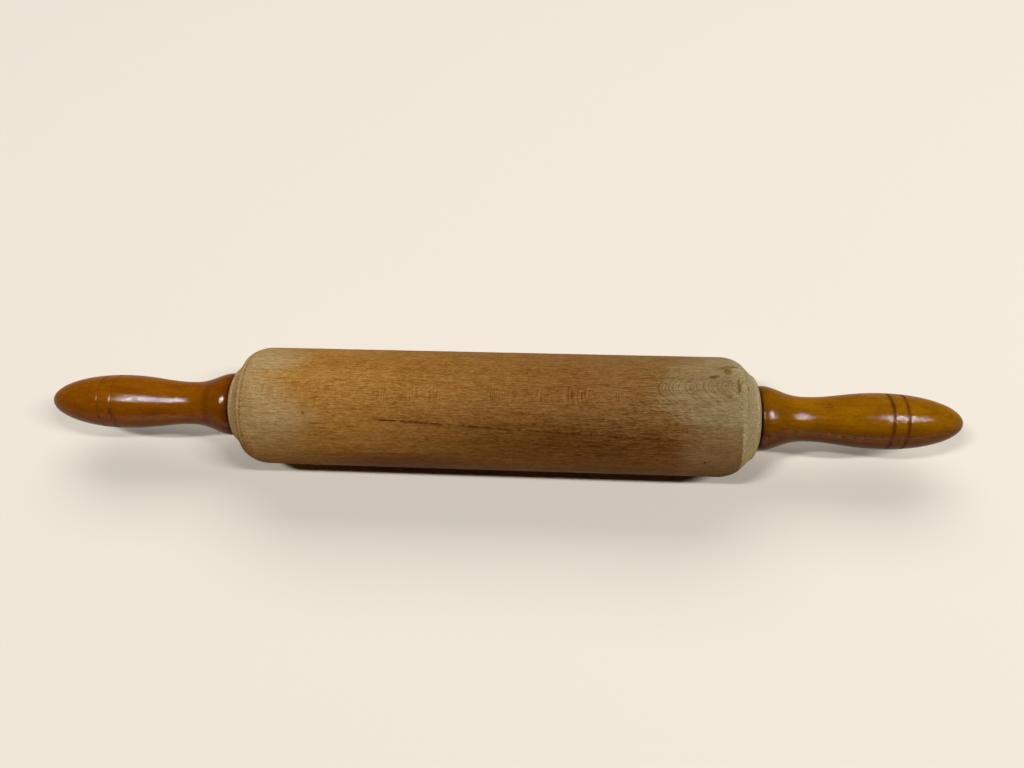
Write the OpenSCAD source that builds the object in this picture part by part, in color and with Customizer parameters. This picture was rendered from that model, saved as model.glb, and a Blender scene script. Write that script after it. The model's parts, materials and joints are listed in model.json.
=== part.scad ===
// Handled rolling pin: a turned beech roller that runs on two ball bearings
// over a steel axle, with a lacquered beech handle screwed on each end.
// The pin lies along X. The roller rests on the plane Z = 0 below its middle.

/* [Roller] */
// Length of the roller between its two end faces
roller_l = 250; // [180:1:400]
// Diameter of the roller
roller_d = 57; // [52:0.5:80]
// Diameter of the flat end face
end_face_d = 27.4; // [26:0.2:32]
// Diameter of the rounded lip round the left end face
left_lip_d = 37.8; // [34:0.2:44]
// Diameter of the rounded lip round the right end face
right_lip_d = 41; // [34:0.2:44]
// Distance from the end face to where the lip meets the cone
lip_depth = 3; // [1.5:0.1:5]
// Distance from the end face to the outer edge of the cone
cone_depth = 8; // [6:0.5:14]
// How far the outer edge of the cone lies below the roller surface
shoulder_drop = 2.9; // [1.4:0.1:4]
// Radius of the shoulder between the cone and the roller surface
shoulder_round = 16; // [6:0.5:22]
// Radius of the scored line at the outer edge of the cone
score_r = 0.5; // [0.3:0.05:0.8]
// Depth of the scored line
score_depth = 0.3; // [0.15:0.05:0.6]

/* [Axle] */
// Diameter of the steel rod between the two bearings
rod_d = 10; // [9.4:0.1:11.4]
// Gap all round between the rod and the bore of the roller
rod_play = 1; // [0.5:0.1:2]
// How far the rod reaches into each handle
rod_reach = 45; // [30:1:55]
// Chamfer on each end of the rod
rod_chamfer = 0.8; // [0.3:0.1:1.5]
// How much smaller the thread is than the bearing seat, in radius
thread_relief = 0.05; // [0.02:0.01:0.15]

/* [Bearings] */
// Bore of each ball bearing, and so the seat on the rod
bearing_bore = 8; // [7:0.1:8.8]
// Outside diameter of each ball bearing
bearing_od = 22; // [20:0.1:24]
// Width of each ball bearing
bearing_w = 7; // [7:0.1:9]
// Diameter of each ball
ball_d = 3.97; // [3.4:0.01:4.2]
// Number of balls in each bearing
ball_count = 7; // [5:1:8]
// Radial opening between the shoulders of the two races
race_window = 3; // [2.6:0.1:3.4]
// Running clearance between a ball and its groove
ball_play = 0.07; // [0.03:0.01:0.1]
// Radial thickness of the ball cage
cage_t = 1.8; // [1.2:0.1:2]
// Clearance of a ball in its cage pocket
pocket_play = 0.1; // [0.05:0.01:0.2]
// Solid back of the cage behind the balls
cage_back = 0.55; // [0.4:0.05:0.7]
// How far the open side of the cage reaches past the centre of the balls
cage_prong = 1.3; // [0.8:0.1:1.5]
// Thickness of each bearing shield
shield_t = 0.3; // [0.2:0.05:0.35]
// How far each shield lies inside the side face of the bearing
shield_inset = 0.25; // [0.1:0.05:0.3]
// How far each shield reaches into the outer race past its shoulder
shield_grip = 0.6; // [0.3:0.05:0.8]
// Gap between each shield and the inner race
shield_gap = 0.3; // [0.15:0.05:0.5]
// Chamfer on the outer edges of the bearing
race_chamfer = 0.4; // [0.2:0.05:0.6]
// Width of the pocket floor that carries the outer race
seat_ledge = 1.8; // [1:0.1:2.4]
// Depth of the relief in the pocket floor, clear of the inner race
seat_relief = 1; // [0.5:0.1:3]

/* [Washers and nuts] */
// Outside diameter of the thrust washers
washer_d = 12; // [10.6:0.1:12.4]
// Thickness of the thrust washers
washer_t = 1; // [0.5:0.1:2]
// Gap all round between a washer and the rod
washer_play = 0.15; // [0.05:0.05:0.3]
// Size across the flats of the lock nuts
nut_af = 13; // [12:0.1:16]
// Thickness of the lock nuts
nut_t = 4; // [3:0.1:6]

/* [Handles] */
// Running gap between the roller and each handle
handle_gap = 0.8; // [0.4:0.1:2]
// Length of each handle
handle_l = 94.5; // [85:0.5:120]
// Diameter of the face next to the roller
handle_face_d = 28.8; // [24:0.2:30]
// Largest diameter of the flare next to the roller
flare_d = 30.6; // [28:0.2:36]
// Distance from the face to the top of the flare
flare_at = 2.6; // [1.5:0.1:5]
// Smallest diameter of the neck
neck_d = 21.1; // [18:0.1:25]
// Distance from the face to the neck
neck_at = 24.5; // [22:0.5:32]
// Largest diameter of the grip
grip_d = 26.5; // [23:0.1:32]
// Distance from the face to the fullest part of the grip
grip_at = 57.5; // [45:0.5:65]
// Diameter of the small flat on the tip
tip_flat_d = 3.6; // [1:0.2:8]
// Distance from the fullest part of the grip to the first burned line
line_offset = 1.6; // [-4:0.1:6]
// Distance between the two burned lines
line_gap = 6.7; // [3:0.1:12]
// Radius of the burned lines in section
line_r = 0.6; // [0.3:0.05:1]
// Depth of the burned lines
line_depth = 0.5; // [0.2:0.05:0.9]

/* [Handle inserts] */
// Outside diameter of the threaded insert
insert_d = 12; // [11:0.1:14]
// Length of the threaded insert inside the handle
insert_l = 20; // [12:0.5:28]
// Diameter of the collar that bears on the lock nut
collar_d = 16; // [14:0.1:20]
// Number of glue grooves round the insert
glue_groove_count = 3; // [1:1:4]
// Radius of a glue groove in section
glue_groove_r = 0.7; // [0.4:0.05:1]
// Gap all round the rod where it lies in bare wood
drill_play = 0.25; // [0.1:0.05:0.6]
// Extra depth of the drilled hole past the end of the rod
drill_extra = 3; // [1:0.5:8]

/* [Hidden] */
$fn = 96;

// Extra length that carries a cut clear of the surface it breaks through
cut = 1;
// Angle between two points of the lip's outline
lip_step = 15;
// Length steps along the turned outline of a handle
flare_steps = 5;
neck_steps = 12;
grip_steps = 14;
nose_steps = 18;
// Fullness of the two blends of the handle: higher leaves the start sooner
flare_fullness = 3;
grip_fullness = 2.4;

roller_r = roller_d / 2;
axis_z = roller_r;
half_l = roller_l / 2;
cone_r = roller_r - shoulder_drop;
// Distance from the end face to where the shoulder meets the roller surface
shoulder_depth = cone_depth + sqrt(pow(shoulder_round, 2) - pow(shoulder_round - shoulder_drop, 2));

seat_r = bearing_bore / 2;
thread_r = seat_r - thread_relief;
bearing_r = bearing_od / 2;
pitch_r = (seat_r + bearing_r) / 2;
ball_r = ball_d / 2;
groove_r = ball_r + ball_play;
inner_shoulder_r = pitch_r - race_window / 2;
outer_shoulder_r = pitch_r + race_window / 2;
shield_r = outer_shoulder_r + shield_grip;
shield_z = bearing_w / 2 - shield_inset - shield_t;

// The pocket takes the bearing, the washer and the nut, flush with the end
pocket_depth = bearing_w + washer_t + nut_t;
seat_x = half_l - pocket_depth;
bearing_x = seat_x + bearing_w / 2;
washer_x = seat_x + bearing_w;
nut_x = washer_x + washer_t;
handle_x = half_l + handle_gap;
rod_end_x = handle_x + rod_reach;

face_r = handle_face_d / 2;
flare_r = flare_d / 2;
neck_r = neck_d / 2;
grip_r = grip_d / 2;
tip_r = tip_flat_d / 2;
// Half axis of the elliptic nose, which the flat on the tip cuts short
nose_l = (handle_l - grip_at) / sqrt(1 - pow(tip_r / grip_r, 2));

// Places a shape that was turned about Z on the axis of the pin, from X = x
module along_axis(x) {
    translate([x, 0, axis_z])
        rotate([0, 90, 0])
            children();
}

module left_side() {
    mirror([1, 0, 0])
        children();
}

module right_side() {
    children();
}

// A blend from 0 to 1 that starts and ends level
function blend(t, fullness) = 1 - pow(1 - t, fullness) * (1 + fullness * t);

// Radius of the handle at the distance u from its face
function handle_radius(u) =
    u < flare_at ? face_r + (flare_r - face_r) * sqrt(1 - pow(1 - u / flare_at, 2))
    : u < neck_at ? flare_r + (neck_r - flare_r) * blend((u - flare_at) / (neck_at - flare_at), flare_fullness)
    : u < grip_at ? neck_r + (grip_r - neck_r) * blend((u - neck_at) / (grip_at - neck_at), grip_fullness)
    : grip_r * sqrt(max(0, 1 - pow((u - grip_at) / nose_l, 2)));

// Distances from the face at which the outline of the handle is drawn
handle_stations = concat(
    [for (i = [0 : flare_steps - 1]) flare_at * (1 - cos(90 * i / flare_steps))],
    [for (i = [0 : neck_steps - 1]) flare_at + (neck_at - flare_at) * i / neck_steps],
    [for (i = [0 : grip_steps - 1]) neck_at + (grip_at - neck_at) * i / grip_steps],
    [for (i = [0 : nose_steps]) grip_at + (handle_l - grip_at) * sin(90 * i / nose_steps)]
);

// One half of the roller's section, with its end shaped on the +Z side
module roller_end_section(lip_d) {
    lip_r = lip_d / 2;
    end_face_r = end_face_d / 2;
    // The lip is a quarter of an ellipse, and the cone runs from it to the shoulder
    polygon(concat(
        [[0, 0], [roller_r, 0], [roller_r, half_l - shoulder_depth], [cone_r, half_l - cone_depth]],
        [for (a = [90 : -lip_step : 0])
            [end_face_r + (lip_r - end_face_r) * sin(a), half_l - lip_depth * (1 - cos(a))]],
        [[0, half_l]]
    ));
    intersection() {
        translate([roller_r - shoulder_round, half_l - shoulder_depth])
            circle(r = shoulder_round);
        translate([0, half_l - shoulder_depth])
            square([roller_r, shoulder_depth - cone_depth]);
    }
}

module roller_half(lip_d) {
    difference() {
        rotate_extrude()
            roller_end_section(lip_d);
        // Scored line
        rotate_extrude()
            translate([cone_r + score_r - score_depth, half_l - cone_depth])
                circle(r = score_r);
        // Bearing pocket and the relief in its floor
        translate([0, 0, seat_x])
            cylinder(r = bearing_r, h = pocket_depth + cut);
        translate([0, 0, seat_x - seat_relief])
            cylinder(r = bearing_r - seat_ledge, h = seat_relief + cut);
        translate([0, 0, -cut])
            cylinder(r = rod_d / 2 + rod_play, h = half_l);
    }
}

module roller() {
    color([0.54, 0.40, 0.23])
        union() {
            right_side()
                along_axis(0)
                    roller_half(right_lip_d);
            left_side()
                along_axis(0)
                    roller_half(left_lip_d);
        }
}

module axle_rod() {
    color([0.72, 0.73, 0.75])
        along_axis(0)
            rotate_extrude()
                polygon([
                    [0, -rod_end_x],
                    [thread_r - rod_chamfer, -rod_end_x],
                    [thread_r, -rod_end_x + rod_chamfer],
                    [thread_r, -washer_x],
                    [seat_r, -washer_x],
                    [seat_r, -seat_x],
                    [rod_d / 2, -seat_x],
                    [rod_d / 2, seat_x],
                    [seat_r, seat_x],
                    [seat_r, washer_x],
                    [thread_r, washer_x],
                    [thread_r, rod_end_x - rod_chamfer],
                    [thread_r - rod_chamfer, rod_end_x],
                    [0, rod_end_x]
                ]);
}

module handle() {
    color([0.55, 0.31, 0.07])
        along_axis(handle_x)
            difference() {
                rotate_extrude()
                    polygon(concat(
                        [[0, 0]],
                        [for (u = handle_stations) [handle_radius(u), u]],
                        [[0, handle_l]]
                    ));
                // Two burned lines
                for (u = [grip_at + line_offset, grip_at + line_offset + line_gap])
                    rotate_extrude()
                        translate([handle_radius(u) + line_r - line_depth, u])
                            circle(r = line_r);
                // Seat of the insert, then the hole for the end of the rod
                translate([0, 0, -cut])
                    cylinder(d = insert_d, h = insert_l + cut);
                translate([0, 0, -cut])
                    cylinder(r = seat_r + drill_play, h = rod_reach + drill_extra + cut);
            }
}

module handle_insert() {
    insert_r = insert_d / 2;
    groove_pitch = insert_l / (glue_groove_count + 1);
    color([0.78, 0.62, 0.30])
        along_axis(handle_x)
            rotate_extrude()
                difference() {
                    union() {
                        translate([thread_r, 0])
                            square([insert_r - thread_r, insert_l]);
                        translate([thread_r, -handle_gap])
                            square([collar_d / 2 - thread_r, handle_gap]);
                    }
                    for (i = [1 : glue_groove_count])
                        translate([insert_r, i * groove_pitch])
                            circle(r = glue_groove_r);
                }
}

module lock_nut() {
    corner_r = nut_af / 2 / cos(30);
    chamfer = corner_r - nut_af / 2;
    color([0.66, 0.67, 0.68])
        along_axis(nut_x)
            difference() {
                intersection() {
                    cylinder(r = corner_r, h = nut_t, $fn = 6);
                    rotate_extrude()
                        polygon([
                            [0, 0],
                            [nut_af / 2, 0],
                            [corner_r, chamfer / 2],
                            [corner_r, nut_t - chamfer / 2],
                            [nut_af / 2, nut_t],
                            [0, nut_t]
                        ]);
                }
                translate([0, 0, -cut])
                    cylinder(r = thread_r, h = nut_t + 2 * cut);
            }
}

module thrust_washer() {
    color([0.70, 0.71, 0.72])
        along_axis(washer_x)
            difference() {
                cylinder(d = washer_d, h = washer_t);
                translate([0, 0, -cut])
                    cylinder(r = seat_r + washer_play, h = washer_t + 2 * cut);
            }
}

module bearing_outer_race() {
    color([0.76, 0.77, 0.79])
        along_axis(bearing_x)
            rotate_extrude()
                difference() {
                    polygon([
                        [outer_shoulder_r, -bearing_w / 2],
                        [bearing_r - race_chamfer, -bearing_w / 2],
                        [bearing_r, -bearing_w / 2 + race_chamfer],
                        [bearing_r, bearing_w / 2 - race_chamfer],
                        [bearing_r - race_chamfer, bearing_w / 2],
                        [outer_shoulder_r, bearing_w / 2]
                    ]);
                    translate([pitch_r, 0])
                        circle(r = groove_r);
                    // Seats of the two shields
                    translate([pitch_r, shield_z])
                        square([shield_r - pitch_r, bearing_w]);
                    translate([pitch_r, -shield_z - bearing_w])
                        square([shield_r - pitch_r, bearing_w]);
                }
}

module bearing_inner_race() {
    color([0.78, 0.79, 0.81])
        along_axis(bearing_x)
            rotate_extrude()
                difference() {
                    translate([seat_r, -bearing_w / 2])
                        square([inner_shoulder_r - seat_r, bearing_w]);
                    translate([pitch_r, 0])
                        circle(r = groove_r);
                }
}

module each_ball() {
    for (i = [0 : ball_count - 1])
        rotate([0, 0, i * 360 / ball_count])
            translate([pitch_r, 0, 0])
                children();
}

module ball_cage() {
    color([0.30, 0.29, 0.27])
        along_axis(bearing_x)
            difference() {
                rotate_extrude()
                    translate([pitch_r - cage_t / 2, -cage_prong])
                        square([cage_t, cage_prong + ball_r + pocket_play + cage_back]);
                each_ball()
                    sphere(r = ball_r + pocket_play);
            }
}

module bearing_balls() {
    color([0.86, 0.87, 0.89])
        along_axis(bearing_x)
            each_ball()
                sphere(r = ball_r);
}

module bearing_shields() {
    shield_bore_r = inner_shoulder_r + shield_gap;
    color([0.68, 0.69, 0.71])
        along_axis(bearing_x)
            for (z = [shield_z, -shield_z - shield_t])
                rotate_extrude()
                    translate([shield_bore_r, z])
                        square([shield_r - shield_bore_r, shield_t]);
}

roller();
axle_rod();
left_side() handle();  // left_handle
right_side() handle();  // right_handle
left_side() handle_insert();  // left_handle_insert
right_side() handle_insert();  // right_handle_insert
left_side() lock_nut();  // left_lock_nut
right_side() lock_nut();  // right_lock_nut
left_side() thrust_washer();  // left_thrust_washer
right_side() thrust_washer();  // right_thrust_washer
left_side() bearing_outer_race();  // left_bearing_outer_race
right_side() bearing_outer_race();  // right_bearing_outer_race
left_side() bearing_inner_race();  // left_bearing_inner_race
right_side() bearing_inner_race();  // right_bearing_inner_race
left_side() ball_cage();  // left_ball_cage
right_side() ball_cage();  // right_ball_cage
left_side() bearing_balls();  // left_bearing_balls
right_side() bearing_balls();  // right_bearing_balls
left_side() bearing_shields();  // left_bearing_shields
right_side() bearing_shields();  // right_bearing_shields
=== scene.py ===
import json
import math
import random

import bmesh
import bpy
import numpy as np
from mathutils import Matrix, Vector


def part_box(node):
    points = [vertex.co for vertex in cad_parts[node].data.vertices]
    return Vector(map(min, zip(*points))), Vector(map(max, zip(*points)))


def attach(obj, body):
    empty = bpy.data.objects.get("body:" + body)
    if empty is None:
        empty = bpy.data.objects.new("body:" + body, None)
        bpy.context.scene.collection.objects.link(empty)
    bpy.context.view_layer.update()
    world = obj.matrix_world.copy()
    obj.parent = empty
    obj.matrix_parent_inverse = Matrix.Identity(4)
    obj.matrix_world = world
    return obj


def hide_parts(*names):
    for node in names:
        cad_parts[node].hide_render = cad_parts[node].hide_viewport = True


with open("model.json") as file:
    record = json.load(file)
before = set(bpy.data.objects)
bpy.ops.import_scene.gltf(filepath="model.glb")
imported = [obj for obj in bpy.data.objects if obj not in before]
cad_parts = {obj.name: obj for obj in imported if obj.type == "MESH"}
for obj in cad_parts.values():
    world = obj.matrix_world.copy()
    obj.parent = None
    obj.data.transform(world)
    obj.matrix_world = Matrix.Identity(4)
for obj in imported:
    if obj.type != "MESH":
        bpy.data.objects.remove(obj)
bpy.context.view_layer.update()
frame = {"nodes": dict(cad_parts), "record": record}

# Metres in a millimetre
MM = 0.001

# Sizes in millimetres, repeated from the part's source where the frame doesn't give them
AXIS_Z = (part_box("roller")[1].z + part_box("roller")[0].z) / 2 / MM
ROLLER_R = AXIS_Z
HALF_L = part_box("roller")[1].x / MM
LIP_R = {"left": 18.9, "right": 20.5}
END_FACE_R = 13.7
LIP_DEPTH = 3
CONE_DEPTH = 8
CONE_R = 25.6
SHOULDER_DEPTH = 17.19
SHOULDER_ROUND = 16
SCORE_R = 0.5
SCORE_DEPTH = 0.3
POCKET_R = 11
POCKET_X = 113
RELIEF_R = 9.2
RELIEF_X = 112
BORE_R = 6

HANDLE_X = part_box("right_handle")[0].x / MM
HANDLE_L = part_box("right_handle")[1].x / MM - HANDLE_X
FACE_R = 14.4
FLARE_R = 15.3
FLARE_AT = 2.6
NECK_R = 10.55
NECK_AT = 24.5
GRIP_R = 13.25
GRIP_AT = 57.5
TIP_R = 1.8
NOSE_L = (HANDLE_L - GRIP_AT) / math.sqrt(1 - (TIP_R / GRIP_R) ** 2)
LINES_AT = (59.1, 65.8)
LINE_R = 0.6
LINE_DEPTH = 0.5
WORN_LINE_DEPTH = 0.25
SEAT_R = 6
SEAT_L = 20
DRILL_R = 4.25
DRILL_L = 48
DRILL_TIP_L = 2
# The outline of a handle stays this far from the axis, so that no ring shrinks to a point
CENTRE_R = 0.05

# The photograph's camera looks down at this angle (degrees) on the pin's near side
VIEW_TILT = 67
# Camera: place, aim and near limit (m), roll (degrees), focal length and photograph's width (px)
CAMERA_AT = Vector((0.0342, -0.1480, 0.3760))
CAMERA_AIM = Vector((0.00916, 0.01471, 0.0285))
CAMERA_NEAR = 0.01
CAMERA_ROLL = -6.537
FOCAL_PX = 780
PHOTO_W_PX = 1024
SENSOR_MM = 36


def set_camera():
    """The photograph's viewpoint."""
    data = bpy.data.cameras.new("camera")
    data.sensor_width = SENSOR_MM
    data.lens = FOCAL_PX / PHOTO_W_PX * SENSOR_MM
    data.clip_start = CAMERA_NEAR
    camera = bpy.data.objects.new("camera", data)
    turn = (CAMERA_AIM - CAMERA_AT).to_track_quat("-Z", "Y").to_matrix().to_4x4()
    roll = Matrix.Rotation(math.radians(CAMERA_ROLL), 4, "Z")
    camera.matrix_world = Matrix.Translation(CAMERA_AT) @ turn @ roll
    bpy.context.collection.objects.link(camera)
    bpy.context.scene.camera = camera


def area_light(name, place, size, power, tilt=0, mirrored=True):
    """A soft rectangular lamp, long side along the pin, in metres, watts and degrees.

    One that isn't mirrored lights the pin but doesn't show in its gloss.
    """
    data = bpy.data.lights.new(name, "AREA")
    data.shape = "RECTANGLE"
    data.size, data.size_y = size
    data.energy = power
    lamp = bpy.data.objects.new(name, data)
    lamp.location = place
    lamp.rotation_euler = (math.radians(tilt), 0, 0)
    lamp.visible_glossy = mirrored
    bpy.context.collection.objects.link(lamp)


# Sockets of Blender's Mix node
MIX_FACTOR = 0
MIX_NUMBERS = (2, 3)
MIX_COLOURS = (6, 7)
MIX_COLOUR_OUT = 2


class Wire:
    """A socket that adds, subtracts, multiplies and divides like a number."""

    def __init__(self, graph, socket):
        self.graph = graph
        self.socket = socket

    def __add__(self, other):
        return self.graph.math("ADD", self, other)

    __radd__ = __add__

    def __sub__(self, other):
        return self.graph.math("SUBTRACT", self, other)

    def __rsub__(self, other):
        return self.graph.math("SUBTRACT", other, self)

    def __mul__(self, other):
        return self.graph.math("MULTIPLY", self, other)

    def __truediv__(self, other):
        return self.graph.math("DIVIDE", self, other)

    def __abs__(self):
        return self.graph.math("ABSOLUTE", self, 0)


class Graph:
    """Builds the nodes of a material or the world; a value is a number, a colour or a Wire."""

    def __init__(self, owner):
        owner.use_nodes = True
        self.owner = owner
        self.tree = owner.node_tree

    def join(self, value, socket):
        """Links a Wire to the socket, or sets the socket's own value."""
        if isinstance(value, Wire):
            self.tree.links.new(value.socket, socket)
        elif isinstance(value, tuple) and len(value) == 3 and socket.type == "RGBA":
            socket.default_value = (*value, 1)
        else:
            socket.default_value = value

    def node(self, kind, inputs, output=0, **settings):
        """A new node's output, by its number or name."""
        made = self.tree.nodes.new("ShaderNode" + kind)
        for key, value in settings.items():
            setattr(made, key, value)
        for key, value in inputs.items():
            self.join(value, made.inputs[key])
        return Wire(self, made.outputs[output])

    def math(self, operation, a, b=0.0):
        return self.node("Math", {0: a, 1: b}, operation=operation)

    def ramp(self, value, low, high, to_low=0.0, to_high=1.0):
        """Smooth step from to_low at low to to_high at high."""
        inputs = {
            "Value": value,
            "From Min": low,
            "From Max": high,
            "To Min": to_low,
            "To Max": to_high,
        }
        return self.node("MapRange", inputs, interpolation_type="SMOOTHSTEP")

    def near(self, value, centre, reach):
        """1 at centre, falling smoothly to 0 at the distance reach."""
        return self.ramp(abs(value - centre), reach, 0)

    def spot(self, x, y, centre, reach):
        """1 at centre on the surface, falling to 0 on an ellipse of the two reaches."""
        u = (x - centre[0]) / reach[0]
        v = (y - centre[1]) / reach[1]
        return self.ramp(u * u + v * v, 1, 0)

    def curve(self, value, points, low, high):
        """Straight lines through (place, height) points; low and high bound the heights."""
        first, last = points[0][0], points[-1][0]
        made = self.tree.nodes.new("ShaderNodeValToRGB")
        stops = made.color_ramp.elements
        while len(stops) < len(points):
            stops.new(0.5)
        for stop, (place, height) in zip(stops, points):
            stop.position = (place - first) / (last - first)
            level = (height - low) / (high - low)
            stop.color = (level, level, level, 1)
        self.join((value - first) / (last - first), made.inputs[0])
        return Wire(self, made.outputs[0]) * (high - low) + low

    def mix(self, factor, a, b):
        """Colour a where the factor is 0, b where it is 1."""
        inputs = {MIX_FACTOR: factor, MIX_COLOURS[0]: a, MIX_COLOURS[1]: b}
        return self.node("Mix", inputs, output=MIX_COLOUR_OUT, data_type="RGBA")

    def mix_value(self, factor, a, b):
        """Number a where the factor is 0, b where it is 1."""
        return self.node("Mix", {MIX_FACTOR: factor, MIX_NUMBERS[0]: a, MIX_NUMBERS[1]: b})

    def scale_colour(self, colour, value):
        """The colour multiplied by a grey value."""
        return self.node("VectorMath", {0: colour, "Scale": value}, operation="SCALE")

    def stain(self, colour, level, green, blue):
        """Darkened or lightened like wood: dark grain is redder and light grain greyer."""
        tint = self.vector(level, self.math("POWER", level, green), self.math("POWER", level, blue))
        return self.node("VectorMath", {0: colour, 1: tint}, operation="MULTIPLY")

    def vector(self, x, y, z):
        return self.node("CombineXYZ", {0: x, 1: y, 2: z})

    def stretched(self, at, along, across):
        """The place scaled by along on x and by across on y and z, for noise that is streaky."""
        x, y, z = at
        return self.vector(x * along, y * across, z * across)

    def split(self, vector):
        """The vector's x, y and z."""
        made = self.tree.nodes.new("ShaderNodeSeparateXYZ")
        self.join(vector, made.inputs[0])
        return [Wire(self, socket) for socket in made.outputs]

    def place(self):
        """Where the surface point lies in the shared frame (m)."""
        return self.node("TexCoord", {}, output="Object")

    def noise(self, vector, detail, roughness=0.5):
        """Soft random values round 0.5, about one change for each unit of the vector."""
        inputs = {"Vector": vector, "Scale": 1.0, "Detail": detail, "Roughness": roughness}
        return self.node("TexNoise", inputs)

    def cells(self, vector):
        """Distance to the nearest of randomly placed points, about one for each unit."""
        return self.node("TexVoronoi", {"Vector": vector, "Scale": 1.0})

    def bump(self, height, distance):
        """Normal tilted by the height, with distance metres for each unit of it."""
        return self.node("Bump", {"Height": height, "Distance": distance, "Strength": 1.0})

    def seen_rays(self, *kinds):
        """1 for rays that show the backdrop itself: straight to the camera, and the given kinds."""
        seen = self.node("LightPath", {}, output="Is Camera Ray")
        for kind in kinds:
            seen = self.math("MAXIMUM", seen, self.node("LightPath", {}, output=kind))
        return seen

    def set_shader(self, shader, **sockets):
        """Sets or links sockets of the shader; an underscore stands for a space."""
        for key, value in sockets.items():
            self.join(value, self.tree.nodes[shader].inputs[key.replace("_", " ")])

    def finish(self, **sockets):
        """The material, once its shader has these values."""
        self.set_shader("Principled BSDF", **sockets)
        return self.owner


def surface_places(graph):
    """Place on the pin: x along it, y and z from its axis (mm), angle from the view (degrees)."""
    x, y, z = [metres / MM for metres in graph.split(graph.place())]
    z = z - AXIS_Z
    angle = graph.math("ARCTAN2", z, y * -1) * math.degrees(1) - VIEW_TILT
    return x, y, z, angle


# Length of one degree round the roller (mm)
ARC_MM = math.radians(ROLLER_R)
# Bump of the roller's wood (m for each unit of height), and specular level of both woods
ROLLER_BUMP = 0.00010
WOOD_SPECULAR = 0.05
# Colours of the roller: oiled middle, washed ends, patches, end grain, marks; the low colours of
# the oiled middle and of the washed left end are partly painted shade
OIL_DARK = (0.134, 0.058, 0.0115)
OIL_LIGHT = (0.290, 0.132, 0.0235)
OIL_RUDDY = (0.195, 0.070, 0.011)
OIL_LOW_LEFT_SHADED = (0.142, 0.047, 0.0085)
OIL_LOW_RIGHT_SHADED = (0.116, 0.042, 0.0058)
WASHED_LEFT = (0.312, 0.192, 0.073)
WASHED_LEFT_FAR = (0.322, 0.217, 0.086)
WASHED_LEFT_LOW_SHADED = (0.292, 0.146, 0.040)
WASHED_RIGHT = (0.214, 0.151, 0.065)
WASHED_RIGHT_DULL = (0.190, 0.123, 0.050)
BROWN_LOW_RIGHT = (0.200, 0.108, 0.036)
RED_PATCH = (0.200, 0.098, 0.034)
END_GRAIN_LEFT = (0.372, 0.236, 0.103)
END_GRAIN_RIGHT = (0.322, 0.250, 0.124)
FLECK_BROWN = (0.116, 0.062, 0.0125)
LONG_LINE_BROWN = (0.056, 0.018, 0.0010)
# Edge of the washed wood: angle (degrees), x (mm)
LEFT_WASH = [
    (-247, -95),
    (-33, -90),
    (-10, -80),
    (10, -94),
    (25, -101),
    (45, -89),
    (70, -95),
    (113, -95),
]
RIGHT_WASH = [(-247, 96), (-15, 95), (-4, 87), (8, 77), (28, 76), (45, 84), (70, 93), (113, 96)]
# How light the oiled middle is along x (mm)
MIDDLE_TONE = [
    (-125, 0.95),
    (-70, 0.95),
    (-30, 0.66),
    (0, 0.40),
    (20, 0.30),
    (55, 0.12),
    (80, 0.16),
    (125, 0.3),
]
# The angle at which the grain rises to the surface, along x (mm)
CREST = [(-125, 12), (20, 15), (55, 17), (77, 24.8), (108, 29.2), (125, 31)]
# Arcs that stand out: where each crosses the crest, and its half width (mm)
STRONG_ARCS = [
    (76.6, 0.45),
    (78.3, 0.35),
    (81.2, 0.4),
    (88.8, 0.5),
    (90.3, 0.35),
    (92.2, 0.35),
    (99.0, 0.4),
    (106.3, 0.4),
]
# Groups of upright ticks on the crest: x and reach (mm), strength
TICK_GROUPS = [
    (-47.5, 6, 0.9),
    (-34.5, 6, 0.9),
    (-24, 7, 1.0),
    (3, 6, 0.9),
    (12, 3, 0.7),
    (23.8, 4, 1.1),
    (37, 5, 1.2),
    (44, 6, 1.4),
    (58.5, 7, 0.7),
]
# Specks: place and reach (mm, degrees), how dark
SPECKS = [
    ((-84, -6.5), (1.0, 1.6), 0.55),
    ((-79, -16), (3.4, 1.2), 0.32),
    ((-110, -2), (8.0, 1.0), 0.24),
    ((-111, 2.5), (6.0, 0.8), 0.16),
    ((-62, -18), (5.0, 1.0), 0.30),
    ((16, 2.5), (6.5, 1.1), 0.26),
    ((-15, 64), (0.9, 2.2), 0.35),
    ((99, -47), (0.9, 2.4), 0.62),
    ((101, 39), (2.2, 2.6), 0.30),
    ((117.5, 30), (0.7, 3.5), 0.40),
    ((112.5, 25), (0.8, 2.2), 0.30),
]
# Brown flecks near the right end: place and reach (mm, degrees), rise (degrees for each mm)
FLECKS = [
    ((108.6, 52.6), (7.4, 3.1), 0.75),
    ((108.5, 46), (2.2, 5.5), 0),
    ((102.7, 39), (2.8, 2.6), 0.4),
    ((112.7, 30.5), (1.15, 9.0), 0),
]


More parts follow.
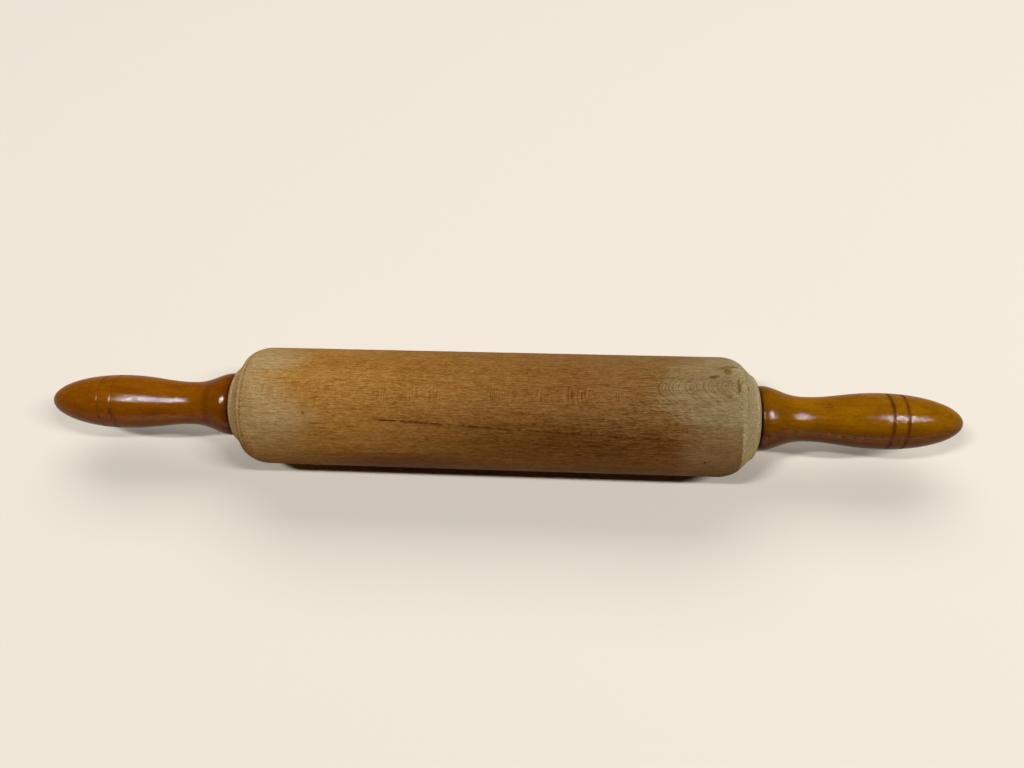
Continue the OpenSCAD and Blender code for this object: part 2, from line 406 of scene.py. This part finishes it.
def roller_wood():
    """Beech, oiled and brown in the middle, washed out and grey at both ends."""
    g = Graph(bpy.data.materials.new("roller_beech"))
    x, y, z, angle = surface_places(g)
    at = (x, y, z)

    # Slow changes along the log, then streaks and short fibres
    drift = g.noise(g.stretched(at, 0.012, 0.09), detail=3)
    blotch = g.noise(g.stretched(at, 0.07, 0.11), detail=3, roughness=0.55)
    streak = g.noise(g.stretched(at, 0.025, 0.55), detail=4, roughness=0.62)
    fibre = g.noise(g.stretched(at, 0.16, 2.10), detail=3, roughness=0.7)
    grain = g.noise(g.stretched(at, 0.50, 1.50), detail=4, roughness=0.78)

    # The washed ends have a streaky edge that wanders
    wander = (streak - 0.5) * 24 + (grain - 0.5) * 12
    left_edge = g.curve(angle, LEFT_WASH, -110, -70)
    right_edge = g.curve(angle, RIGHT_WASH, 70, 110)
    left_wash = g.ramp(x - left_edge + wander, 13, -13)
    right_wash = g.ramp(x - right_edge + wander, -11, 13)
    washed = g.math("MAXIMUM", left_wash, right_wash)

    # Oiled middle: lighter at the left, darkest right of the centre
    oiled = g.mix(g.curve(x, MIDDLE_TONE, 0, 1), OIL_DARK, OIL_LIGHT)
    ruddy = g.ramp(drift + (streak - 0.5) * 0.6, 0.42, 0.64)
    oiled = g.mix(ruddy * 0.35, oiled, OIL_RUDDY)
    # Darker and redder low down, left and right of the centre: partly the oil's own stain, partly
    # painted shade
    low_stain_and_shade = g.ramp(angle + (streak - 0.5) * 30, -36, -56) * g.near(x, -42, 66)
    oiled = g.mix(low_stain_and_shade * 0.9, oiled, OIL_LOW_LEFT_SHADED)
    dark_low_stain_and_shade = g.near(angle + (streak - 0.5) * 24, -28, 38) * g.near(x, 42, 92)
    oiled = g.mix(dark_low_stain_and_shade * 0.95, oiled, OIL_LOW_RIGHT_SHADED)
    # The washed left end is greyer towards the top, and darker and redder low down, partly in
    # painted shade
    left_pale = g.mix(g.ramp(angle, 25, 62), WASHED_LEFT, WASHED_LEFT_FAR)
    left_pale = g.mix(g.ramp(angle, -16, -62), left_pale, WASHED_LEFT_LOW_SHADED)
    right_pale = g.mix(g.ramp(blotch, 0.38, 0.66), WASHED_RIGHT, WASHED_RIGHT_DULL)
    colour = g.mix(left_wash, oiled, left_pale)
    faint_wash = g.ramp(x, 35, 62) * g.ramp(angle, -30, 0) * 0.13
    colour = g.mix(g.math("MAXIMUM", right_wash, faint_wash), colour, right_pale)

    # Lower part of the right end is browner, up to the crisp start of the end grain
    brown_low = g.ramp(angle, -4, -24) * g.ramp(x, 84, 96)
    colour = g.mix(brown_low * 0.75, colour, BROWN_LOW_RIGHT)
    red_patch = g.spot(x, angle, (88, -15), (13, 13)) * g.ramp(streak, 0.35, 0.6)
    colour = g.mix(red_patch * 0.5, colour, RED_PATCH)

    # End grain of the two coned ends
    left_end = g.ramp(x, -116.6, -118.2)
    crisp_end = g.ramp(x + (grain - 0.5) * 2 - g.ramp(angle, -10, -60) * 1.8, 113.8, 115.0)
    soft_end = g.ramp(x, 106, 122)
    right_end = g.mix_value(g.ramp(angle, -14, 8), crisp_end, soft_end)
    # The end grain of both ends is paler towards the bottom
    paler_below = g.ramp(angle, 5, -60, 1, 1.5)
    left_end_colour = g.scale_colour(END_GRAIN_LEFT, g.ramp(angle, 5, -45, 1, 1.15))
    colour = g.mix(left_end * 0.85, colour, left_end_colour)
    right_end_colour = g.scale_colour(END_GRAIN_RIGHT, paler_below)
    colour = g.mix(right_end * 0.9, colour, right_end_colour)

    # Rays: dark dashes along the grain, a few of them long
    warp = (g.noise(g.stretched(at, 0.05, 0.2), detail=1) - 0.5) * 3
    dashes = g.ramp(g.cells(g.vector(x * 0.40, y * 1.45 + warp, z * 1.45)), 0.34, 0.10)
    thin_field = g.near(x, 50, 62) * g.near(angle, -26, 42)
    thin_cells = g.cells(g.vector(x * 0.50, y * 2.2, z * 2.2 + warp))
    thin_dashes = g.ramp(thin_cells, 0.46, 0.14) * thin_field
    long_dashes = g.ramp(g.cells(g.vector(x * 0.08, y * 1.00, z * 1.00 + warp)), 0.26, 0.08)

    # Nested arcs where the grain rises: short above their crest, long and slanting below it
    across = (angle - g.curve(x, CREST, 10, 32)) * ARC_MM
    arc_x = x - (g.math("SQRT", across * across + 9) - 3) - across * across * 0.028
    arc_wave = g.noise(g.vector(arc_x * 2.00, across * 0.05, 3.3), detail=2, roughness=0.6)
    arc_dark = g.ramp(arc_wave, 0.53, 0.61)
    for place, width in STRONG_ARCS:
        arc_dark = g.math("MAXIMUM", arc_dark, g.near(arc_x, place, width))
    arc_light = g.ramp(arc_wave, 0.47, 0.37)
    broken = g.ramp(g.noise(g.vector(arc_x * 1.1, across * 0.5, 7.1), detail=2), 0.30, 0.46)
    field = g.ramp(x, 70, 78) * g.ramp(x, 120, 114) * g.near(across, -0.5, 12)
    arc_dark = arc_dark * broken * field
    arc_light = arc_light * broken * field

    # Fine upright ticks in groups along the crest, bent a little towards the right end
    tick_x = x - across * across * g.ramp(x, 0, 45, 0.006, 0.05)
    tick_wave = g.noise(g.vector(tick_x * 2.3, across * 0.10, 6.3), detail=1)
    groups = 0.12
    for place, reach, strength in TICK_GROUPS:
        groups = g.near(x, place, reach) * strength + groups
    tick_field = g.near(across, 0, 5.5) * g.ramp(x, -66, -50) * g.ramp(x, 72, 62) * groups
    tick_field = g.ramp(x, -58, -70) * g.near(angle, 12, 22) * 0.25 + tick_field
    ticks = (tick_wave - 0.5) * tick_field

    # Below the crest the arcs show as short slanting dashes
    low_field = g.ramp(x, 34, 70) * g.ramp(x, 121, 112) * g.near(across, -11, 14)
    slanting = g.ramp(g.cells(g.vector(arc_x * 1.45, across * 0.42, 5.0)), 0.48, 0.16) * low_field
    between = g.ramp(g.cells(g.vector(arc_x * 1.45, across * 0.42, 11.0)), 0.44, 0.16) * low_field

    # One long broken dark line
    course = x * x * 0.00012 - x * 0.094 - 15.8
    off_course = (angle - course) * ARC_MM + (grain - 0.5) * 1.2
    swell = g.noise(g.vector(x * 0.42, 0.5, 9.1), detail=2)
    long_line = g.near(off_course, 0, 0.80) * g.ramp(swell, 0.38, 0.56, 0.22, 1)
    long_line = long_line * g.ramp(x, -55, -47) * g.ramp(x, 98, 82)

    # Specks, a knot dot and brown flecks
    specks = 0
    for place, reach, depth in SPECKS:
        specks = g.spot(x, angle, place, reach) * depth + specks
    flecks = 0
    ragged = (streak - 0.5) * 1.5 + (grain - 0.5) * 2.5
    for place, reach, rise in FLECKS:
        level_angle = angle - (x - place[0]) * rise
        fleck = g.spot(x + ragged, level_angle + ragged * 2, place, reach)
        flecks = g.math("MAXIMUM", g.ramp(fleck, 0.1, 0.6), flecks)
    colour = g.mix(flecks * 0.80, colour, FLECK_BROWN)
    colour = g.mix(long_line * 0.92, colour, LONG_LINE_BROWN)

    # Score line and the finer turned lines beside it, most of them worn away at the right end
    dotted = g.ramp(g.noise(g.stretched(at, 0.3, 1.1), detail=2), 0.36, 0.60)
    left_lines = g.near(x, -117.4, 1.0) * 0.50 + g.near(x, -114.4, 0.8) * 0.42
    turned_lines = left_lines * dotted + g.near(x, 117, 0.8) * dotted * 0.16
    # Painted highlight: a light line on the ridge between the two left turned lines
    painted_highlight_line = g.near(x, -115.8, 0.9) * (dotted * 0.5 + 0.5) * 0.18
    rim_grain = g.cells(g.vector(x * 0.9, y * 1.05 + x * 0.5, z * 1.05))
    end_dashes = g.ramp(rim_grain, 0.40, 0.12) * g.math("MAXIMUM", left_end, right_end)

    dark = dashes * (0.19 - washed * 0.04) + long_dashes * 0.22 + arc_dark * 0.38 + slanting * 0.33
    dark = dark + thin_dashes * 0.29 + end_dashes * g.ramp(angle, 0, -30, 0.20, 0.30)
    dark = dark + specks + turned_lines
    light = arc_light * 0.14 + between * 0.18 + painted_highlight_line + ticks * 1.7
    fine = (grain - 0.5) * (low_field * 0.2 + thin_field * 0.3 + 1.65)
    fine = fine + (fibre - 0.5) * (thin_field + 1.6)
    # Painted light: the top of the oiled middle is lighter
    upper = g.ramp(angle, 34, 62) * g.ramp(x, -25, 25) * 0.13
    uneven = upper + (streak - 0.5) * g.ramp(angle, -8, -30, 0.40, 0.50)
    uneven = uneven + (blotch - 0.5) * 0.22 + fine * (1 - washed * 0.2)
    level = g.math("MAXIMUM", 1.05 - dark, 0.12) * (1 + light + uneven)
    colour = g.stain(colour, level, 1.42 - washed * 0.17, 2.6 - washed * 0.7)

    height = grain * 0.8 + fibre * 0.3 + streak * 0.3
    height = height - dashes * 0.6 - arc_dark * 0.6 - slanting * 0.6
    height = height - long_line * 1.1 - specks * 0.8 - end_dashes * 0.5 - turned_lines * 0.5
    roughness = g.ramp(washed + (streak - 0.5) * 0.4, 0, 1, 0.58, 0.80)
    return g.finish(
        Base_Color=colour,
        Roughness=roughness,
        Specular_IOR_Level=WOOD_SPECULAR,
        Normal=g.bump(height, ROLLER_BUMP),
    )


# Colours of the left and the right handle: wood, its darker streaks, both darker and redder low
# down in painted shade, burned lines
AMBER = ((0.212, 0.064, 0.0008), (0.238, 0.092, 0.0010))
AMBER_STREAK = ((0.172, 0.047, 0.0006), (0.186, 0.066, 0.0007))
AMBER_SHADED_LOW = ((0.214, 0.055, 0.0004), (0.138, 0.038, 0.0004))
AMBER_STREAK_SHADED_LOW = ((0.172, 0.040, 0.0003), (0.118, 0.031, 0.0003))
BURN = ((0.110, 0.026, 0.0012), (0.088, 0.024, 0.0012))
# How far the burned colour reaches from the middle of each line (mm)
BURN_REACH = (1.7, 1.3)
# Bump of the lacquer and of the wood below it (m for each unit of height)
LACQUER_BUMP = 0.00015
HANDLE_BUMP = 0.00006


def handle_wood():
    """Beech under amber gloss lacquer, with two dark burned lines."""
    g = Graph(bpy.data.materials.new("handle_lacquer"))
    x, y, z, angle = surface_places(g)
    at = (x, y, z)
    u = abs(x) - HANDLE_X
    right = g.ramp(x, -1, 1)

    streak = g.noise(g.stretched(at, 0.04, 0.50), detail=4, roughness=0.6)
    grain = g.noise(g.stretched(at, 0.34, 1.50), detail=4, roughness=0.7)
    blotch = g.noise(g.stretched(at, 0.07, 0.14), detail=3)
    dashes = g.ramp(g.cells(g.stretched(at, 0.34, 1.3)), 0.30, 0.08)
    pores = g.noise(g.stretched(at, 1.05, 1.5), detail=1)

    base = g.mix(right, *AMBER)
    deep = g.mix(right, *AMBER_STREAK)
    # Painted shade: the lower side of each handle is darker and redder
    under = g.ramp(angle, -6, -40) * 0.9
    base = g.mix(under, base, g.mix(right, *AMBER_SHADED_LOW))
    deep = g.mix(under, deep, g.mix(right, *AMBER_STREAK_SHADED_LOW))
    colour = g.mix(g.ramp(streak + (blotch - 0.5) * 0.9, 0.38, 0.68), base, deep)

    # The burned lines are paler and patchy on the left handle
    lines = 0
    for place, reach in zip(LINES_AT, BURN_REACH):
        lines = g.math("MAXIMUM", g.near(u, place, reach), lines)
    worn = g.ramp(g.noise(g.stretched(at, 0.3, 0.35), detail=2), 0.34, 0.62)
    worn = worn * 0.75 + right * 0.35 + 0.15
    worn = worn * g.math("MAXIMUM", right, g.ramp(angle, 0, -25, 0.35, 1))
    burn = g.mix(right, *BURN)
    colour = g.mix(g.math("MINIMUM", lines * worn, 0.85), colour, burn)

    smudge = g.spot(x, angle, (HANDLE_X + 31, 35), (3.2, 12)) * g.ramp(grain, 0.48, 0.56) * 0.55
    band = g.near(x, -HANDLE_X - 12, 3.2) * 0.20
    tip = g.ramp(u, 92.6, 94.2) * 0.35
    # Painted shade darkens the handle from its neck towards its face beside the roller
    painted_foot_shade = g.ramp(u, 5.0, 0.2) * 0.22 + g.ramp(u, 18, 8) * 0.20
    level = 1 - dashes * 0.20 - smudge - band - tip - painted_foot_shade
    level = level * (1 + (streak - 0.5) * 0.20 + (grain - 0.5) * 0.75 + (pores - 0.5) * 0.50)
    colour = g.stain(colour, level, 1.3, 1.6)

    # Lacquer: brushed on, with a fine uneven surface; its gloss fades where it is seen edge on
    peel = g.noise(g.stretched(at, 0.50, 1.30), detail=2, roughness=0.55)
    facing = g.node("LayerWeight", {"Blend": 0.5}, output="Facing")
    gloss = g.ramp(facing, 0.16, 0.48, 0.98, 0.02)
    gloss = gloss * g.ramp(pores, 0.44, 0.56, 0.04, 1.14) * (1 - right * 0.18)
    return g.finish(
        Base_Color=colour,
        Roughness=0.32,
        Specular_IOR_Level=WOOD_SPECULAR,
        Specular_Tint=(1.0, 0.60, 0.15),
        Normal=g.bump(grain - dashes * 0.5, HANDLE_BUMP),
        Coat_Weight=gloss,
        Coat_Normal=g.bump(peel, LACQUER_BUMP),
        Coat_Roughness=0.07,
        Coat_IOR=1.6,
    )


# Metals of the record's slots: colour, roughness, strength of the turning marks
METALS = {
    "axle_steel": ((0.48, 0.49, 0.52), 0.30, 0.10),
    "insert_brass": ((0.57, 0.34, 0.075), 0.28, 0.12),
    "nut_zinc": ((0.40, 0.41, 0.42), 0.38, 0.06),
    "race_steel": ((0.55, 0.57, 0.60), 0.16, 0.06),
    "ball_steel": ((0.70, 0.72, 0.74), 0.08, 0.0),
    "shield_steel": ((0.42, 0.43, 0.45), 0.32, 0.14),
}
# Strength of their stains, and their bump (m for each unit of height)
METAL_STAINS = 0.24
METAL_BUMP = 0.000004
# Colour and bump of the cages
CAGE_COLOUR = (0.075, 0.069, 0.060)
CAGE_BUMP = 0.00001


def metal(name, colour, roughness, turned):
    """Steel, zinc or brass with turning marks about the pin's axis, stains and fine grit."""
    g = Graph(bpy.data.materials.new(name))
    x, y, z, angle = surface_places(g)
    at = (x, y, z)
    radius = g.math("SQRT", y * y + z * z)
    rings = g.noise(g.vector(x * 6, radius * 6, angle * 0.004), detail=3, roughness=0.65)
    stain = g.noise(g.stretched(at, 0.35, 0.35), detail=4, roughness=0.6)
    grit = g.noise(g.stretched(at, 5, 5), detail=2)
    level = 1 + (stain - 0.5) * METAL_STAINS + (rings - 0.5) * turned
    shade = g.scale_colour(colour, level)
    rough = g.ramp(stain + (rings - 0.5) * 0.6, 0.25, 0.75, roughness * 0.75, roughness * 1.35)
    height = g.bump(rings * turned + grit * 0.25, METAL_BUMP)
    return g.finish(Base_Color=shade, Roughness=rough, Metallic=1.0, Normal=height)


def moulded_cage():
    """Dark moulded polymer of the ball cages."""
    g = Graph(bpy.data.materials.new("cage_polymer"))
    at = surface_places(g)[:3]
    cloud = g.noise(g.stretched(at, 0.5, 0.5), detail=3)
    grain = g.noise(g.stretched(at, 7, 7), detail=2)
    colour = g.scale_colour(CAGE_COLOUR, 1 + (cloud - 0.5) * 0.35 + (grain - 0.5) * 0.2)
    rough = g.ramp(cloud + (grain - 0.5) * 0.5, 0.3, 0.7, 0.42, 0.60)
    return g.finish(Base_Color=colour, Roughness=rough, Normal=g.bump(grain, CAGE_BUMP))


# Steps of a rounded corner
ROUND_STEPS = 4


def rounded(corners):
    """Outline through (x, r, rounding) corners, each corner turned into a short arc."""
    count = len(corners)
    points = []
    for i, (x, r, rounding) in enumerate(corners):
        here = Vector((x, r))
        before = Vector(corners[i - 1][:2]) - here
        after = Vector(corners[(i + 1) % count][:2]) - here
        reach = min(rounding, before.length / 2, after.length / 2)
        if reach <= 0:
            points.append((x, r))
            continue
        start = here + before.normalized() * reach
        end = here + after.normalized() * reach
        for step in range(ROUND_STEPS + 1):
            t = step / ROUND_STEPS
            points.append(tuple((1 - t) ** 2 * start + 2 * t * (1 - t) * here + t * t * end))
    return points


def spaced(outline, gap):
    """The closed outline with extra points, so that none are further apart than gap(r)."""
    points = []
    for (x, r), (next_x, next_r) in zip(outline, outline[1:] + outline[:1]):
        length = math.hypot(next_x - x, next_r - r)
        parts = max(1, math.ceil(length / gap((r + next_r) / 2)))
        for part in range(parts):
            t = part / parts
            points.append((x + (next_x - x) * t, r + (next_r - r) * t))
    return points


# Edges that turn by more than this stay sharp (degrees)
SHARP_ANGLE = 38


def lathe(name, outline, segments, cut, body, node, material):
    """Turns a closed (x, r) outline about the pin's axis into a piece that replaces a node.

    cut(x, r, turn) says by how many millimetres the surface is lowered.
    """
    rings = len(outline)
    x = np.array([p[0] for p in outline])[:, None] + np.zeros((1, segments))
    r = np.array([p[1] for p in outline])[:, None] + np.zeros((1, segments))
    turn = np.arange(segments) / segments * math.tau - math.pi / 2
    turn = turn[None, :] + np.zeros((rings, 1))
    r = r - cut(x, r, turn)
    points = np.stack([x, -r * np.cos(turn), AXIS_Z + r * np.sin(turn)], -1).reshape(-1, 3) * MM
    faces = []
    for i in range(rings):
        j = (i + 1) % rings
        for k in range(segments):
            m = (k + 1) % segments
            faces.append((i * segments + k, j * segments + k, j * segments + m, i * segments + m))
    mesh = bpy.data.meshes.new(name)
    mesh.from_pydata(points.tolist(), [], faces)

    beside = outline[1:] + outline[:1]
    steps = [math.hypot(b[0] - a[0], b[1] - a[1]) for a, b in zip(outline, beside)]
    along = np.concatenate([[0], np.cumsum(steps)]) / sum(steps)
    first = np.repeat(np.arange(rings), segments)
    around = np.tile(np.arange(segments), rings) / segments
    width = 1 / segments
    corners = [
        (along[first], around),
        (along[first + 1], around),
        (along[first + 1], around + width),
        (along[first], around + width),
    ]
    places = np.stack([np.stack(c, -1) for c in corners], 1).reshape(-1)
    mesh.uv_layers.new(name="uv").data.foreach_set("uv", places)

    work = bmesh.new()
    work.from_mesh(mesh)
    bmesh.ops.recalc_face_normals(work, faces=work.faces)
    work.to_mesh(mesh)
    work.free()
    mesh.shade_smooth()
    mesh.set_sharp_from_angle(angle=math.radians(SHARP_ANGLE))
    mesh.materials.append(material)
    piece = bpy.data.objects.new(name, mesh)
    bpy.context.collection.objects.link(piece)
    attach(piece, body)
    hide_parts(node)


def arc(centre, radius, start, end, steps):
    """Points of a circle arc from start to end degrees about centre."""
    turns = [math.radians(start + (end - start) * i / steps) for i in range(steps + 1)]
    return [(centre[0] + radius * math.cos(t), centre[1] + radius * math.sin(t)) for t in turns]


# The roller's ends: steps of the rounded shoulder and of the lip, start, end (degrees) and steps of
# the score line's arc, and the score line's depth where it is worn (mm)
SHOULDER_STEPS = 22
LIP_STEPS = 12
SCORE_ARC = (215, 305, 6)
WORN_SCORE_DEPTH = 0.06


def roller_end(lip_r, worn):
    """Outer outline of the right half, from the cylinder to the edge of the end face."""
    top = HALF_L - SHOULDER_DEPTH
    centre_r = ROLLER_R - SHOULDER_ROUND
    cone_x = HALF_L - CONE_DEPTH
    meet = math.degrees(math.asin((CONE_R - centre_r) / SHOULDER_ROUND))
    points = arc((top, centre_r), SHOULDER_ROUND, 90, meet, SHOULDER_STEPS)
    bottom = CONE_R - SCORE_DEPTH
    floor = arc((cone_x, bottom + SCORE_R), SCORE_R, *SCORE_ARC)
    if worn:
        floor = [(cone_x, CONE_R - WORN_SCORE_DEPTH)]
    points = [p for p in points if p[0] < floor[0][0] - 0.1] + floor
    points.append((HALF_L - LIP_DEPTH, lip_r))
    for step in range(1, LIP_STEPS + 1):
        t = math.radians(90 - 90 * step / LIP_STEPS)
        x = HALF_L - LIP_DEPTH * (1 - math.cos(t))
        points.append((x, END_FACE_R + (lip_r - END_FACE_R) * math.sin(t)))
    return points


def roller_outline():
    """Closed outline of the whole roller with its through bore and bearing pockets."""
    right = roller_end(LIP_R["right"], worn=True)
    left = [(-x, r) for x, r in reversed(roller_end(LIP_R["left"], worn=False))]
    right_bore = [
        (HALF_L, POCKET_R, 0.4),
        (POCKET_X, POCKET_R, 0.1),
        (POCKET_X, RELIEF_R, 0.1),
        (RELIEF_X, RELIEF_R, 0.1),
        (RELIEF_X, BORE_R, 0.3),
    ]
    corners = right_bore + [(-x, r, rounding) for x, r, rounding in reversed(right_bore)]
    hidden = rounded(corners)
    outline = left + right + hidden
    return spaced(outline, roller_gap)


# Longest steps along the roller's outline: on the cylinder, inside, on the ends (mm)
CYLINDER_STEP = 1.5
INSIDE_STEP = 8
END_STEP = 0.7


def roller_gap(r):
    """Longest allowed step along the roller's outline."""
    if r > ROLLER_R - 0.5:
        return CYLINDER_STEP
    if r < END_FACE_R - 1:
        return INSIDE_STEP
    return END_STEP


# Wear of the roller: depth of its flutes and waves (mm), number of dents and seed of their draws,
# and the ranges from which a dent's place, length, width and depth are drawn (mm)
FLUTE_DEPTH = 0.020
WAVE_DEPTH = 0.018
DENTS = 22
DENT_SEED = 8
DENT_X = (-104, 104)
DENT_LENGTH = (1.6, 4.2)
DENT_WIDTH = (1.0, 2.2)
DENT_DEPTH = (0.06, 0.18)


def roller_cut(x, r, turn):
    """Wear of the turned surface: shallow flutes along the grain and a few dents, only inwards."""
    outside = r > END_FACE_R
    flutes = 0.5 + 0.5 * np.sin(turn * 23 + np.sin(x * 0.021) * 1.7 + 0.8 * np.sin(turn * 5))
    waves = 0.5 + 0.5 * np.sin(x * 0.19 + 1.3 * np.sin(turn * 3) + 0.7)
    depth = FLUTE_DEPTH * flutes + WAVE_DEPTH * waves
    chance = random.Random(DENT_SEED)
    for _ in range(DENTS):
        dent_x = chance.uniform(*DENT_X)
        dent_turn = chance.uniform(-math.pi / 2, math.pi * 1.5)
        dent_l = chance.uniform(*DENT_LENGTH)
        dent_w = chance.uniform(*DENT_WIDTH)
        dent_depth = chance.uniform(*DENT_DEPTH)
        off = (np.mod(turn - dent_turn + math.pi, math.tau) - math.pi) * ROLLER_R
        away = ((x - dent_x) / dent_l) ** 2 + (off / dent_w) ** 2
        depth = depth + dent_depth * np.exp(-away)
    return np.where(outside, depth, 0)


def blend(t, fullness):
    """Smooth rise from 0 to 1, level at both ends; a greater fullness rises sooner."""
    return 1 - (1 - t) ** fullness * (1 + fullness * t)


def handle_radius(u):
    """Turned shape of the handle at the distance u from its face."""
    if u < FLARE_AT:
        return FACE_R + (FLARE_R - FACE_R) * math.sqrt(1 - (1 - u / FLARE_AT) ** 2)
    if u < NECK_AT:
        return FLARE_R + (NECK_R - FLARE_R) * blend((u - FLARE_AT) / (NECK_AT - FLARE_AT), 3)
    if u < GRIP_AT:
        return NECK_R + (GRIP_R - NECK_R) * blend((u - NECK_AT) / (GRIP_AT - NECK_AT), 2.4)
    return GRIP_R * math.sqrt(max(0, 1 - ((u - GRIP_AT) / NOSE_L) ** 2))


# Steps along the handle (mm): at a burned line, on its steep ends, elsewhere; then the length of
# its steep tip
LINE_STEP = 0.1
STEEP_STEP = 0.22
GRIP_STEP = 0.6
STEEP_TIP_L = 4


def handle_outline(line_depth):
    """Closed outline of a handle with the drilled seat of its insert, u from the face."""
    line_floor = LINE_R - line_depth
    outer = []
    u = 0
    while u < HANDLE_L:
        r = handle_radius(u)
        for place in LINES_AT:
            off = abs(u - place)
            if off < LINE_R:
                groove = handle_radius(place) + line_floor - math.sqrt(LINE_R**2 - off**2)
                r = min(r, groove)
        outer.append((u, r))
        beside_line = any(abs(u - place) < LINE_R * 2 for place in LINES_AT)
        steep = u > HANDLE_L - STEEP_TIP_L or u < FLARE_AT
        u += LINE_STEP if beside_line else STEEP_STEP if steep else GRIP_STEP
    corners = [
        (HANDLE_L, TIP_R, 0.5),
        (HANDLE_L, TIP_R * 0.5, 0),
        (HANDLE_L, CENTRE_R, 0),
        (DRILL_L + DRILL_TIP_L, CENTRE_R, 0),
        (DRILL_L, DRILL_R, 0),
        (SEAT_L, DRILL_R, 0.1),
        (SEAT_L, SEAT_R, 0.1),
        (0, SEAT_R, 0.3),
        (0, FACE_R, 0.4),
    ]
    return outer[2:-1] + rounded(corners)


# Depth of the handle's waves (mm)
HANDLE_WAVE_DEPTH = 0.03


def handle_cut(x, r, turn):
    """Lacquered wood is slightly uneven, only inwards."""
    waves = 0.5 + 0.5 * np.sin(x * 0.23 + 1.1 * np.sin(turn * 2) + turn)
    return np.where(r > NECK_R - 2, HANDLE_WAVE_DEPTH * waves, 0)


# Floor: half its width and where it fades into the backdrop (m), its colour as seen and as it
# lights the pin, its roughness and specular level
FLOOR_HALF = 6
FLOOR_FADE = (0.6, 1.5)
FLOOR_COLOUR = (0.74, 0.68, 0.59)
FLOOR_BOUNCE = (0.41, 0.27, 0.14)
FLOOR_ROUGHNESS = 0.9
FLOOR_SPECULAR = 0.1
# World: the backdrop as seen, the colour and strength of its light, and its strength in gloss for
# rays at the upper and the lower of two heights
BACKDROP = (0.86, 0.79, 0.68)
WORLD_GREY = (0.05, 0.05, 0.05)
AMBIENT = 0.05
HORIZON_HEIGHTS = (0.38, 0.02)
HORIZON_STRENGTHS = (0.06, 0.22)


def set_floor():
    """A plain pale floor that keeps the pin's shadow and runs into the pale backdrop far away."""
    mesh = bpy.data.meshes.new("floor")
    corners = [(-FLOOR_HALF, -FLOOR_HALF, 0), (FLOOR_HALF, -FLOOR_HALF, 0)]
    corners += [(FLOOR_HALF, FLOOR_HALF, 0), (-FLOOR_HALF, FLOOR_HALF, 0)]
    mesh.from_pydata(corners, [], [(0, 1, 2, 3)])
    floor = bpy.data.objects.new("floor", mesh)
    bpy.context.collection.objects.link(floor)

    g = Graph(bpy.data.materials.new("floor"))
    mirrored = g.seen_rays("Is Glossy Ray", "Is Transmission Ray")
    colour = g.mix(mirrored, FLOOR_BOUNCE, FLOOR_COLOUR)
    away = g.node("VectorMath", {0: g.place()}, output="Value", operation="LENGTH")
    far = g.ramp(away, *FLOOR_FADE) * g.seen_rays("Is Transmission Ray")
    material = g.finish(
        Base_Color=g.mix(far, colour, (0, 0, 0)),
        Emission_Color=BACKDROP,
        Emission_Strength=far,
        Roughness=FLOOR_ROUGHNESS,
        Specular_IOR_Level=FLOOR_SPECULAR,
    )
    mesh.materials.append(material)


def set_world():
    """Weak soft light from all round; gloss shows a dim horizon, and the camera a pale backdrop."""
    world = bpy.data.worlds.new("world")
    bpy.context.scene.world = world
    g = Graph(world)
    height = g.split(g.node("TexCoord", {}, output="Generated"))[2]
    in_gloss = g.node("LightPath", {}, output="Is Glossy Ray")
    light = g.mix_value(in_gloss, AMBIENT, g.ramp(height, *HORIZON_HEIGHTS, *HORIZON_STRENGTHS))
    seen = g.seen_rays("Is Transmission Ray")
    g.set_shader(
        "Background",
        Color=g.mix(seen, WORLD_GREY, BACKDROP),
        Strength=g.mix_value(seen, light, 1),
    )


bpy.context.scene.view_settings.view_transform = "Standard"
set_camera()
set_world()
set_floor()
area_light("left_ceiling_light", place=(-0.75, -0.31, 1.6), size=(0.45, 0.08), power=16)
area_light("right_ceiling_light", place=(1.2, -0.27, 1.6), size=(1.0, 0.08), power=25)
area_light(
    "far_side_light",
    place=(0.0, 1.5, 1.6),
    size=(2.4, 1.2),
    power=31,
    tilt=-43,
    mirrored=False,
)

# Segments of the turned pieces round the pin
ROLLER_SEGMENTS = 296
HANDLE_SEGMENTS = 160

lathe(
    "roller_wood",
    roller_outline(),
    ROLLER_SEGMENTS,
    roller_cut,
    body="roller_body",
    node="roller",
    material=roller_wood(),
)

handle_material = handle_wood()
for side, sign, line_depth in (("left", -1, WORN_LINE_DEPTH), ("right", 1, LINE_DEPTH)):
    outline = [(sign * (HANDLE_X + u), r) for u, r in handle_outline(line_depth)]
    lathe(
        side + "_handle_wood",
        outline,
        HANDLE_SEGMENTS,
        handle_cut,
        body="axle_body",
        node=side + "_handle",
        material=handle_material,
    )

materials = {slot: metal(slot, *finish) for slot, finish in METALS.items()}
materials["cage_polymer"] = moulded_cage()
for row in frame["record"]["subparts"]:
    if row["material_slot"] in materials:
        node = frame["nodes"][row["node"]]
        node.data.materials.clear()
        node.data.materials.append(materials[row["material_slot"]])
